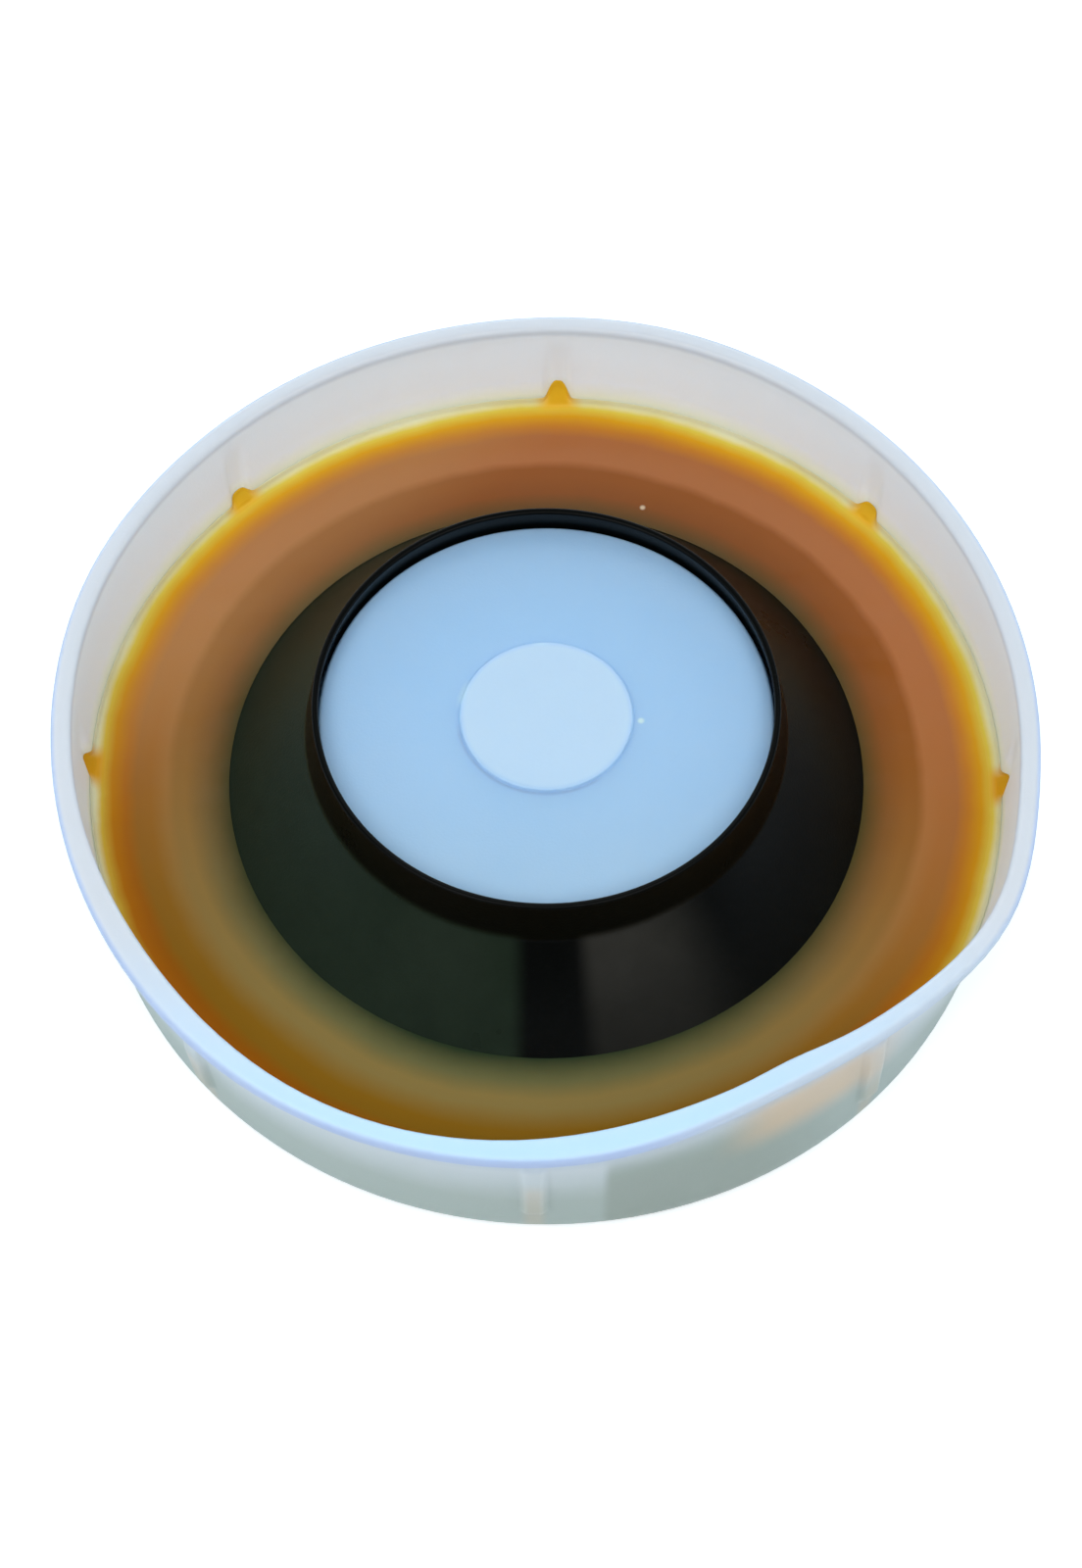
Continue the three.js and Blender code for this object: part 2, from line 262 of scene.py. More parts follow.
class WaxSettings(bpy.types.PropertyGroup):
    level: length("Level", 17.5, "From the foot to the surface of the wax")
    gap: length("Gap", 0.3, "Clearance to the tub and the horn, below the surface")
    edge_gap: length("Edge gap", 0.08, "Clearance to the tub and the horn, at the surface")
    creep: length("Creep", 1.2, "How far the wax has crept up the wall")
    film: length("Film", 0.3, "Thickness of the wax that crept up")
    ear_rise: length("Ear rise", 3.0, "How far the wax stands up in each flute")
    ear_flat: length("Ear flat", 0.5, "Half the width of an ear's flat top")
    ear_spread: length("Ear spread", 2.0, "How wide an ear slopes beside its top")
    cone_colour: colour("Cone colour", 86, 70, 27, "The wax where it thins out over the horn")
    thin_colour: colour("Thin colour", 142, 78, 22, "The wax a little further out")
    flange_colour: colour("Flange colour", 150, 82, 22, "The wax over the horn's flange")
    middle_colour: colour("Middle colour", 178, 109, 60, "The wax beyond the flange")
    deep_colour: colour("Deep colour", 200, 126, 40, "The wax near the wall")
    bright_colour: colour("Bright colour", 222, 160, 16, "The wax as it thins out at the wall")
    edge_colour: colour("Edge colour", 228, 202, 76, "The wax close to the wall")
    film_colour: colour("Film colour", 238, 234, 198, "The film of wax on the wall")
    ear_colour: colour("Ear colour", 240, 184, 38, "The wax that rose in the flutes")
    # Painted light: the wax is lighter towards the back and the left
    back_left_light_colour: colour("Haze colour", 196, 162, 104, "Haze on the surface, left behind")
    # Painted highlight on a bubble
    bubble_glint_colour: colour("Bubble colour", 240, 214, 176, "The glint on a bubble")
    # Painted shade: the front's colours are shaded copies of those above, with a painted greyish
    # reflection near the horn
    painted_front_cone_colour: colour("Front cone colour", 40, 54, 32, "As the cone colour, in front")
    painted_front_thin_colour: colour("Front thin colour", 104, 102, 62, "As the thin colour, in front")
    painted_front_flange_colour: colour("Front flange colour", 140, 118, 64, "As the flange's, in front")
    painted_front_middle_colour: colour("Front middle colour", 140, 98, 14, "As the middle's, in front")
    painted_front_deep_colour: colour("Front deep colour", 158, 90, 0, "As the deep colour, in front")
    painted_front_bright_colour: colour("Front bright colour", 176, 98, 0, "As the bright one, in front")
    painted_front_edge_colour: colour("Front edge colour", 208, 164, 44, "As the edge's, in front")
    painted_front_ear_colour: colour("Front ear colour", 226, 162, 26, "As the ears', in front")
    roughness: fraction("Roughness", 0.16, "Roughness of the set wax")


class HornSettings(bpy.types.PropertyGroup):
    above_disc: length("Above disc", 4.2, "From the tub's disc up to the horn's end")
    end_radius: length("End radius", 35.6, "Outer radius of the tube at its end")
    taper: length("Taper", 1.2, "Growth of the tube's radius down to the cone")
    wall: length("Wall", 1.1, "Thickness of the moulding")
    tube_length: length("Tube length", 7.9, "From the end down to the cone")
    cone_slope: slope("Cone slope", 49.0, "The cone's slope, from level")
    neck_round: length("Neck rounding", 1.6, "Rounding between the tube and the cone")
    flange_radius: length("Flange radius", 60.0, "Outer radius of the flange in the wax")
    flange_height: length("Flange height", 10.5, "From the foot to the flange's upper face")
    flange_round: length("Flange rounding", 4.0, "Rounding between the cone and the flange")
    seat_gap: length("Seat gap", 0.3, "Clearance between the horn and its shoulder")
    bore_clearance: length("Bore clearance", 0.4, "Clearance between the tube and the disc")
    colour: colour("Colour", 5, 6, 5, "The black plastic")
    # Painted sheen: the plastic is lighter on the left
    left_sheen_colour: colour("Dust colour", 30, 41, 30, "The plastic where it is dusty, on the left")
    # Painted sheen: a lighter patch in front, on the right
    patch_sheen_colour: colour("Patch colour", 46, 45, 41, "The dusty patch, in front")
    roughness: fraction("Roughness", 0.3, "Roughness of the moulded plastic")


class StageSettings(bpy.types.PropertyGroup):
    distance: length("Distance", 800, "From the camera to the middle of the wax")
    elevation: slope("Elevation", 59.27, "How steeply the camera looks down")
    lens: bpy.props.FloatProperty(
        name="Lens", description="Focal length", default=118.4, min=1.0, subtype="DISTANCE_CAMERA"
    )
    shift_x: bpy.props.FloatProperty(
        name="Shift X", description="Sideways shift of the picture", default=-0.0034
    )
    shift_y: bpy.props.FloatProperty(
        name="Shift Y", description="Upwards shift of the picture", default=-0.0044
    )
    floor_size: length("Floor size", 3000, "Side of the floor")
    floor_colour: colour("Floor colour", 236, 240, 242, "The pale floor")
    sky_colour: colour("Sky colour", 226, 242, 255, "The light from all round")
    sky_strength: bpy.props.FloatProperty(
        name="Sky strength", description="Soft light from all round", default=0.3, min=0.0
    )
    ring_strength: bpy.props.FloatProperty(
        name="Ring strength",
        description="Light from low down behind and beside, which shines through the wall",
        default=2.3,
        min=0.0,
    )
    lamp_power: bpy.props.FloatProperty(
        name="Lamp power", description="Power of the main lamp", default=3.3, min=0.0, unit="POWER"
    )


# Form of the seal


def wall_radius(tub, height):
    """Radius of the wall's inner face at a height."""
    return tub.rim_radius - tub.rim_width - (tub.height - height) * tan(tub.wall_draft)


def disc_height(tub):
    return tub.height + tub.disc_above_rim


def disc_radius(horn):
    """The disc fits the horn's bore, which narrows upwards, with a clearance."""
    bore = horn.end_radius + horn.above_disc * horn.taper / horn.tube_length - horn.wall
    return bore - horn.bore_clearance


def neck(tub, horn):
    """Radius and height at which the horn's tube turns into its cone."""
    height = disc_height(tub) + horn.above_disc - horn.tube_length
    return horn.end_radius + horn.taper, height


def cone_radius(tub, horn, height, beyond=0.0):
    """Radius of the horn's outer cone at a height, moved square to the cone by a distance."""
    neck_radius, neck_height = neck(tub, horn)
    run = (neck_height - height) / tan(horn.cone_slope)
    return neck_radius + run + beyond / sin(horn.cone_slope)


def shoulder_height(tub, horn, radius):
    """Height of the pedestal's shoulder, which runs under the cone, a seat gap away."""
    neck_radius, neck_height = neck(tub, horn)
    below = (horn.wall + horn.seat_gap) / cos(horn.cone_slope)
    return neck_height - (radius - neck_radius) * tan(horn.cone_slope) - below


def pedestal_radius(tub, horn, height):
    """Radius of the pedestal's outer face at a height."""
    shoulder = disc_radius(horn) + tub.shoulder_width
    drop = shoulder_height(tub, horn, shoulder) - height
    return shoulder + drop * tan(tub.pedestal_draft)


def pushed_out(rows, angle):
    """How far a table of smooth pushes reaches at an angle, in metres."""
    total = 0.0
    for place, spread, push in rows:
        away = (degrees(angle) - place + 180) % 360 - 180
        total += push * MM * exp(-0.5 * (away / spread) ** 2)
    return total


def crease_push(tub, angle, height):
    """How far the wall steps in at the crease: not at its foot, and not under the rim."""
    past = degrees(angle) - CREASE_PLACE
    if past <= 0:
        return 0.0
    step = (1 - exp(-past / CREASE_RISE)) * exp(-past / CREASE_FADE)
    low = smooth_step(height, 0.1 * tub.height, 0.4 * tub.height)
    high = smooth_step(height, 0.9 * tub.height, 0.7 * tub.height)
    return -CREASE_DEPTH * MM * step * low * high


def roll_share(tub, radius, height, rise, outwards):
    """How far a point follows the rim's roll: its top by the inner edge, and the wall below that.

    The last two say how far the point faces up, and outwards times its radius."""
    inside_wall = radius < wall_radius(tub, height) - tub.wall
    if inside_wall or rise < -FACING or outwards > FACING * radius:
        return 0.0
    by_edge = smooth_step(
        radius, tub.rim_radius - 0.3 * tub.rim_width, tub.rim_radius - 0.8 * tub.rim_width
    )
    return by_edge * smooth_step(height, tub.height - 8 * MM, tub.height - 1.5 * MM)


def smooth_step(value, start, end):
    """0 where the value is at start, 1 where it is at end, and smooth between."""
    part = min(max((value - start) / (end - start), 0), 1)
    return part * part * (3 - 2 * part)


def push_wall(piece, tub, horn):
    """Pushes the wall out of round: fading down the wall, and inwards to the horn's flange.

    Each point's radius as it was turned, and whether it faces outwards, are kept for the
    material, so that its bands follow the pushed wall."""
    mesh = piece.data
    turned = mesh.attributes.new("turned_radius", "FLOAT", "POINT")
    outer = mesh.attributes.new("outer_face", "FLOAT", "POINT")
    normals = [vertex.normal.copy() for vertex in mesh.vertices]
    still = tub.wall + tub.floor_round
    for vertex, normal in zip(mesh.vertices, normals):
        radius = hypot(vertex.co.x, vertex.co.y)
        turned.data[vertex.index].value = radius
        outwards = normal.x * vertex.co.x + normal.y * vertex.co.y
        outer.data[vertex.index].value = 1.0 if outwards > 0 else 0.0
        angle = atan2(vertex.co.y, vertex.co.x)
        rise = min(max((vertex.co.z - still) / (tub.height - still), 0), 1)
        reach = smooth_step(radius, horn.flange_radius, wall_radius(tub, tub.wall))
        push = (pushed_out(RIM_PUSHES, angle) * rise + crease_push(tub, angle, vertex.co.z)) * reach
        roll = roll_share(tub, radius, vertex.co.z, normal.z, outwards)
        push += pushed_out(RIM_ROLLS, angle) * roll
        if push:
            vertex.co.x *= 1 + push / radius
            vertex.co.y *= 1 + push / radius


# Outlines
# An outline is a list of corners in the (radius, height) plane, each with a rounding.


def corner(radius, height, rounding=0.0):
    return Vector((radius, height)), rounding


def left_of(direction):
    return Vector((-direction.y, direction.x))


def crossing(point_a, direction_a, point_b, direction_b):
    """Where two lines cross, each given by a point and a direction."""
    along = (point_b - point_a).cross(direction_b) / direction_a.cross(direction_b)
    return point_a + direction_a * along


def offset(corners, distance):
    """Moves each side of an open outline to its left, and keeps the roundings concentric."""
    points = [point for point, _ in corners]
    sides = [(after - before).normalized() for before, after in zip(points, points[1:])]
    moved = [(points[0] + left_of(sides[0]) * distance, 0.0)]
    for index in range(1, len(points) - 1):
        point, rounding = corners[index]
        arriving, leaving = sides[index - 1], sides[index]
        before = point + left_of(arriving) * distance
        after = point + left_of(leaving) * distance
        turn = 1 if arriving.cross(leaving) > 0 else -1
        place = crossing(before, arriving, after, leaving)
        moved.append((place, max(rounding - turn * distance, 0.0)))
    moved.append((points[-1] + left_of(sides[-1]) * distance, 0.0))
    return moved


def rounded(before, point, rounding, after):
    """The points of the arc that rounds one corner."""
    back = (before - point).normalized()
    forward = (after - point).normalized()
    half = acos(min(max(back.dot(forward), -1), 1)) / 2
    if rounding <= 0 or half > pi / 2 - 0.01:
        return [point]
    room = 0.48 * min((before - point).length, (after - point).length)
    tangent = min(rounding / tan(half), room)
    radius = tangent * tan(half)
    centre = point + (back + forward).normalized() * (radius / sin(half))
    start = point + back * tangent - centre
    end = point + forward * tangent - centre
    sweep = atan2(start.cross(end), start.dot(end))
    steps = max(ceil(abs(sweep) / ARC_STEP), 2)
    turns = [Matrix.Rotation(sweep * step / steps, 2) for step in range(steps + 1)]
    return [centre + turn @ start for turn in turns]


def trace(corners, closed=False):
    """All points of an outline: corners rounded, and long straight stretches divided."""
    points = []
    count = len(corners)
    for index, (point, rounding) in enumerate(corners):
        if not closed and index in (0, count - 1):
            points.append(point)
            continue
        before = corners[index - 1][0]
        after = corners[(index + 1) % count][0]
        points.extend(rounded(before, point, rounding, after))
    if closed:
        points.append(points[0])
    divided = [points[0]]
    for start, end in zip(points, points[1:]):
        upright = abs(end.y - start.y) > 2 * abs(end.x - start.x)
        longest = WALL_STRETCH if upright else PLAIN_STRETCH
        parts = max(ceil((end - start).length / longest), 1)
        divided.extend(start.lerp(end, part / parts) for part in range(1, parts + 1))
    return divided


# Modelling steps


def deselect_all():
    if bpy.context.object and bpy.context.object.mode != "OBJECT":
        bpy.ops.object.mode_set(mode="OBJECT")
    bpy.ops.object.select_all(action="DESELECT")


def draw_profile(name, points):
    """Draws a profile in the XZ plane, extruding it point by point, and stays in edit mode."""
    deselect_all()
    first = points[0]
    bpy.ops.mesh.primitive_plane_add(size=MM, location=(first.x, 0, first.y))
    piece = bpy.context.object
    piece.name = name
    piece.data.name = name
    bpy.ops.object.transform_apply(location=True, rotation=False, scale=False)
    bpy.ops.object.mode_set(mode="EDIT")
    bpy.ops.mesh.select_mode(type="VERT")
    bpy.ops.mesh.select_all(action="SELECT")
    bpy.ops.mesh.merge(type="CENTER")
    for before, after in zip(points, points[1:]):
        step = (after.x - before.x, 0, after.y - before.y)
        bpy.ops.mesh.extrude_region_move(TRANSFORM_OT_translate={"value": step})
    bpy.ops.mesh.select_all(action="SELECT")
    return piece


def spin(steps, angle, copies=False):
    """Spins what is selected about the axis, as one skin or as separate copies."""
    bpy.ops.mesh.spin(
        steps=steps, angle=angle, dupli=copies, center=(0, 0, 0), axis=(0, 0, 1)
    )


def select_points(piece, wanted):
    """In edit mode, selects the points whose place passes a test."""
    bpy.ops.mesh.select_mode(type="VERT")
    bpy.ops.mesh.select_all(action="DESELECT")
    bpy.ops.object.mode_set(mode="OBJECT")
    for vertex in piece.data.vertices:
        vertex.select = wanted(vertex.co)
    bpy.ops.object.mode_set(mode="EDIT")


def spin_sector(tub):
    """Spins a profile over one flute and the plain wall beside it. Returns the flute's angle."""
    spin(FLUTE_STEPS, FLUTE_SPAN)
    spin(PLAIN_STEPS, 2 * pi / tub.flute_count - FLUTE_SPAN)
    return -FLUTE_SPAN / 2


def close_ring(piece, tub, middle):
    """Copies the sector round the axis, joins the copies and turns the flutes to their place."""
    bpy.ops.mesh.select_all(action="SELECT")
    spin(tub.flute_count - 1, 2 * pi * (tub.flute_count - 1) / tub.flute_count, copies=True)
    join_seams()
    bpy.ops.object.mode_set(mode="OBJECT")
    piece.data.transform(Matrix.Rotation(tub.flute_turn - middle, 4, "Z"))


def join_seams():
    """Merges doubles at seams and poles, and turns all faces outwards."""
    bpy.ops.mesh.select_all(action="SELECT")
    bpy.ops.mesh.remove_doubles(threshold=MERGE_DISTANCE)
    bpy.ops.mesh.dissolve_degenerate(threshold=MERGE_DISTANCE)
    bpy.ops.mesh.select_all(action="SELECT")
    bpy.ops.mesh.normals_make_consistent(inside=False)


def beside(place, middle):
    """How far a point lies from a flute's middle, along the wall."""
    return abs(atan2(place.y, place.x) - middle) * hypot(place.x, place.y)


def press_out(tub, middle, depth):
    """Presses what is selected outwards at a flute, and what lies round it less and less."""
    bpy.ops.transform.translate(
        value=(depth * cos(middle), depth * sin(middle), 0),
        use_proportional_edit=True,
        proportional_edit_falloff="SMOOTH",
        proportional_size=tub.flute_reach,
    )


def finish_piece(piece, node, material):
    """Smooths a piece, gives it its material and puts it in the place of its CAD node."""
    bpy.ops.object.shade_smooth_by_angle(angle=SMOOTH_ANGLE)
    piece.data.materials.clear()
    piece.data.materials.append(material)
    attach(piece, "root")
    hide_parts(node)


# Shader node groups


def new_group(name, inputs, outputs):
    """A shader node group with named number sockets. Returns the group and its two end nodes."""
    group = bpy.data.node_groups.new(name, "ShaderNodeTree")
    for socket, default in inputs:
        entry = group.interface.new_socket(socket, in_out="INPUT", socket_type="NodeSocketFloat")
        entry.default_value = default
    for socket in outputs:
        group.interface.new_socket(socket, in_out="OUTPUT", socket_type="NodeSocketFloat")
    start = group.nodes.new("NodeGroupInput")
    end = group.nodes.new("NodeGroupOutput")
    return group, start, end


def calculate(tree, operation, *values, clamp=False):
    """A Math node. Each value is a number or another node's output."""
    node = tree.nodes.new("ShaderNodeMath")
    node.operation = operation
    node.use_clamp = clamp
    for socket, value in zip(node.inputs, values):
        if isinstance(value, (int, float)):
            socket.default_value = value
        else:
            tree.links.new(value, socket)
    return node.outputs["Value"]


def between(tree, value, start, end):
    """A smooth step: 0 where the value is at start, 1 where it is at end."""
    node = tree.nodes.new("ShaderNodeMapRange")
    node.interpolation_type = "SMOOTHSTEP"
    node.inputs["From Min"].default_value = start
    node.inputs["From Max"].default_value = end
    tree.links.new(value, node.inputs["Value"])
    return node.outputs["Result"]


def distance_to(tree, along, across):
    """The distance that two steps, square to each other, come to."""
    squares = calculate(
        tree,
        "ADD",
        calculate(tree, "MULTIPLY", along, along),
        calculate(tree, "MULTIPLY", across, across),
    )
    return calculate(tree, "SQRT", squares)


def noise(tree, scale, detail=2.0):
    """Noise on object coordinates, in cells per metre."""
    place = tree.nodes.new("ShaderNodeTexCoord")
    node = tree.nodes.new("ShaderNodeTexNoise")
    node.inputs["Scale"].default_value = scale
    node.inputs["Detail"].default_value = detail
    tree.links.new(place.outputs["Object"], node.inputs["Vector"])
    return node.outputs["Fac"]


def build_turned_place():
    """Where a point lies on a turned piece: radius, height, angle from +X, and X and Y."""
    outputs = ["Radius", "Height", "Angle", "Side", "Depth"]
    group, _, end = new_group("turned_place", [], outputs)
    place = group.nodes.new("ShaderNodeTexCoord")
    split = group.nodes.new("ShaderNodeSeparateXYZ")
    group.links.new(place.outputs["Object"], split.inputs["Vector"])
    along, across = split.outputs["X"], split.outputs["Y"]
    radius = distance_to(group, along, across)
    angle = calculate(group, "ARCTAN2", across, along)
    for socket, value in zip(outputs, (radius, split.outputs["Z"], angle, along, across)):
        group.links.new(value, end.inputs[socket])


def build_cloudiness():
    """Soft, uneven cloudiness, as in a frosted or cast material: from -1 to 1."""
    group, start, end = new_group("cloudiness", [("Fine share", 0.35)], ["Clouds"])
    broad = noise(group, 38.0, 3.0)
    fine = noise(group, 210.0, 3.0)
    mix = group.nodes.new("ShaderNodeMix")
    mix.data_type = "FLOAT"
    group.links.new(start.outputs["Fine share"], mix.inputs[0])
    group.links.new(broad, mix.inputs[2])
    group.links.new(fine, mix.inputs[3])
    centred = calculate(group, "MULTIPLY_ADD", mix.outputs[0], 4.0, -2.0)
    group.links.new(centred, end.inputs["Clouds"])


def build_surface_grain():
    """The fine grain that a mould leaves, and wider unevenness, as one height."""
    inputs = [("Fine", 1.0), ("Broad", 1.0)]
    group, start, end = new_group("surface_grain", inputs, ["Height"])
    fine = calculate(group, "MULTIPLY", noise(group, 2600.0, 2.0), start.outputs["Fine"])
    broad = calculate(group, "MULTIPLY", noise(group, 90.0, 2.0), start.outputs["Broad"])
    group.links.new(calculate(group, "ADD", fine, broad), end.inputs["Height"])


# Materials


class Finish:
    """A material with its main shader and helpers for the nodes in front of it."""

    def __init__(self, name):
        self.material = bpy.data.materials.new(name)
        self.material.use_nodes = True
        self.tree = self.material.node_tree
        self.tree.nodes.clear()
        output = self.tree.nodes.new("ShaderNodeOutputMaterial")
        self.shader = self.tree.nodes.new("ShaderNodeBsdfPrincipled")
        self.tree.links.new(self.shader.outputs["BSDF"], output.inputs["Surface"])

    def set(self, **values):
        """Plain values on the shader's own sockets, with spaces written as underscores."""
        for name, value in values.items():
            self.shader.inputs[name.replace("_", " ")].default_value = value

    def link(self, value, socket):
        self.tree.links.new(value, self.shader.inputs[socket])

    def group(self, name, **values):
        node = self.tree.nodes.new("ShaderNodeGroup")
        node.node_tree = bpy.data.node_groups[name]
        for socket, value in values.items():
            node.inputs[socket.replace("_", " ")].default_value = value
        return node.outputs

    def attribute(self, name):
        node = self.tree.nodes.new("ShaderNodeAttribute")
        node.attribute_name = name
        return node.outputs["Fac"]

    def ramp(self, value, stops):
        """Colours along a value. Each stop is a place, in the value's own unit, and a colour."""
        low, high = stops[0][0], stops[-1][0]
        place = self.tree.nodes.new("ShaderNodeMapRange")
        place.inputs["From Min"].default_value = low
        place.inputs["From Max"].default_value = high
        self.tree.links.new(value, place.inputs["Value"])
        node = self.tree.nodes.new("ShaderNodeValToRGB")
        elements = node.color_ramp.elements
        while len(elements) < len(stops):
            elements.new(0.5)
        for element, (position, shade) in zip(elements, stops):
            element.position = (position - low) / (high - low)
            element.color = (*shade, 1.0)
        self.tree.links.new(place.outputs["Result"], node.inputs["Fac"])
        return node.outputs["Color"]

    def mix(self, share, first, second):
        """Two colours mixed. Each is three numbers or another node's output."""
        node = self.tree.nodes.new("ShaderNodeMix")
        node.data_type = "RGBA"
        for place, value in ((0, share), (6, first), (7, second)):
            socket = node.inputs[place]
            if isinstance(value, bpy.types.NodeSocket):
                self.tree.links.new(value, socket)
            elif isinstance(value, (int, float)):
                socket.default_value = value
            else:
                socket.default_value = (*value, 1.0)
        return node.outputs[2]

    def bump(self, height, distance, strength=1.0):
        node = self.tree.nodes.new("ShaderNodeBump")
        node.inputs["Strength"].default_value = strength
        node.inputs["Distance"].default_value = distance
        self.tree.links.new(height, node.inputs["Height"])
        self.link(node.outputs["Normal"], "Normal")


def make_tub_finish(tub, wax, horn):
    """Frosted, slightly see-through polyethylene: what lies behind it tints it. On top of that,
    painted light and shade: a glow above the wax, a shaded outside, dent and lip, a lit front, and
    shade and highlights by the pad.
    """
    finish = Finish("frosted_polyethylene")
    tree = finish.tree
    finish.set(IOR=1.5, Specular_IOR_Level=0.4, Subsurface_Weight=0.6, Subsurface_Scale=LIGHT_DEPTH)
    finish.set(Subsurface_Radius=(0.85, 0.92, 1.0))
    place = finish.group("turned_place")
    height, angle = place["Height"], place["Angle"]
    radius, outside = finish.attribute("turned_radius"), finish.attribute("outer_face")
    clouds = finish.group("cloudiness", Fine_share=0.3)["Clouds"]
    ragged = calculate(tree, "MULTIPLY_ADD", clouds, RAGGED, height)
    # The inner wall, with painted glow just above the wax
    inner = finish.ramp(
        ragged,
        [
            (wax.level, tub.glow_colour),
            (wax.level + 1.5 * MM, tub.glow_colour),
            (wax.level + 5.0 * MM, tub.wall_colour),
            (tub.height, tub.wall_colour),
        ],
    )
    # The outside: painted shade, darker where wax shows through below, and the lip's painted shade
    # at the top
    outer = finish.ramp(
        ragged,
        [
            (0.0, tub.shaded_backed_colour),
            (wax.level - 4.0 * MM, tub.shaded_backed_colour),
            (wax.level + 8.0 * MM, tub.shaded_outside_colour),
            (tub.height, tub.lip_shade_colour),
        ],
    )
    # Painted shade on the outside of the dent, low down
    low = between(tree, height, wax.level + 12 * MM, wax.level + 2 * MM)
    dent_shade = calculate(tree, "MULTIPLY", sector_share(tree, angle, DENT_WALL_SHADE), low)
    outer = finish.mix(dent_shade, outer, tub.dent_shade_colour)
    outer = finish.mix(stain_share(tree, tub, wax, place), outer, tub.stain_colour)
    wall = finish.mix(outside, inner, outer)
    # Painted light on the rim's top, in front
    painted_front_share = between(tree, place["Depth"], *FRONT_RIM_PAINTED_LIGHT)
    rim_top = finish.mix(painted_front_share, tub.rim_colour, tub.painted_front_rim_colour)
    # Painted shade on the rim's outer band, and painted light on it at the dent
    rim_outer_shade = between(tree, radius, tub.rim_radius - 0.3 * tub.rim_width, tub.rim_radius)
    at_dent = sector_share(tree, angle, DENT_LIP_LIGHT)
    lip = finish.mix(at_dent, tub.lip_shade_colour, tub.dent_lip_light_colour)
    rim = finish.mix(rim_outer_shade, rim_top, lip)
    lower_outside = calculate(tree, "MULTIPLY_ADD", outside, 0.5 * MM, height)
    in_rim = between(tree, lower_outside, tub.height - 1.9 * MM, tub.height - 0.7 * MM)
    wall = finish.mix(in_rim, wall, rim)
    in_pad = between(tree, radius, tub.pad_radius + 0.3 * MM, tub.pad_radius - 1 * MM)
    # Painted shade on the disc, in front
    painted_front_share = between(tree, place["Depth"], *FRONT_DISC_PAINTED_LIGHT)
    disc = finish.mix(painted_front_share, tub.disc_colour, tub.painted_front_disc_colour)
    disc = finish.mix(in_pad, disc, tub.pad_colour)
    # Painted shade round the pad's foot, in front
    shade = arc_share(tree, place, tub.pad_radius + 0.3 * MM, 0.5 * MM, PAD_SHADE)
    shade = calculate(tree, "MULTIPLY", shade, PAD_PAINTED_LIGHT_SHARE)
    disc = finish.mix(shade, disc, tub.pad_shade_colour)
    # Painted highlights beside the pad, and a painted glint at the pip
    behind = arc_share(tree, place, tub.pad_radius - 0.3 * MM, 0.6 * MM, PAD_GLINT_BEHIND)
    left = arc_share(tree, place, tub.pad_radius + 0.1 * MM, 1.0 * MM, PAD_GLINT_LEFT)
    glint = calculate(tree, "MULTIPLY", calculate(tree, "MAXIMUM", behind, left), PAD_PAINTED_LIGHT_SHARE)
    glint = calculate(tree, "MAXIMUM", glint, spot_share(tree, place, PIP_GLINT))
    disc = finish.mix(glint, disc, tub.pad_glint_colour)
    in_disc = between(tree, radius, horn.end_radius + 2 * MM, horn.end_radius)
    whole = finish.mix(in_disc, wall, disc)
    milky = calculate(tree, "MULTIPLY_ADD", clouds, 0.03, 0.03, clamp=True)
    finish.link(finish.mix(milky, whole, (1.0, 1.0, 1.0)), "Base Color")
    rough = calculate(tree, "MULTIPLY_ADD", clouds, 0.04, tub.roughness)
    finish.link(rough, "Roughness")
    grain = finish.group("surface_grain", Fine=0.35, Broad=1.0)["Height"]
    finish.bump(grain, 0.12 * MM, 0.5)
    return finish.material


def sector_share(tree, angle, sector):
    """A soft sector: 0 outside its first and last angle, 1 between the two in the middle."""
    start, full, fading, end = map(radians, sector)
    begins = between(tree, angle, start, full)
    ends = between(tree, angle, end, fading)
    return calculate(tree, "MULTIPLY", begins, ends)


def arc_share(tree, place, radius, spread, ends):
    """A soft arc: round a radius, from a start angle to an end angle in degrees."""
    inner = between(tree, place["Radius"], radius - spread, radius)
    outer = between(tree, place["Radius"], radius + spread, radius)
    across = calculate(tree, "MULTIPLY", inner, outer)
    start, end = ends
    sector = (start, start + PAD_PAINTED_LIGHT_FADE, end - PAD_PAINTED_LIGHT_FADE, end)
    return calculate(tree, "MULTIPLY", across, sector_share(tree, place["Angle"], sector))


def spot_share(tree, place, spot):
    """A small soft spot, given by its side, depth and size in mm."""
    side, depth, size = (value * MM for value in spot)
    along = calculate(tree, "SUBTRACT", place["Side"], side)
    across = calculate(tree, "SUBTRACT", place["Depth"], depth)
    return between(tree, distance_to(tree, along, across), size, 0.3 * size)


def flute_share(tree, tub, place, angles):
    """0 beyond the first angle from a flute's middle, 1 within the second, both in degrees."""
    step = 2 * pi / tub.flute_count
    turned = calculate(tree, "SUBTRACT", place["Angle"], tub.flute_turn)
    away = calculate(tree, "ABSOLUTE", calculate(tree, "WRAP", turned, step / 2, -step / 2))
    return between(tree, away, *map(radians, angles))


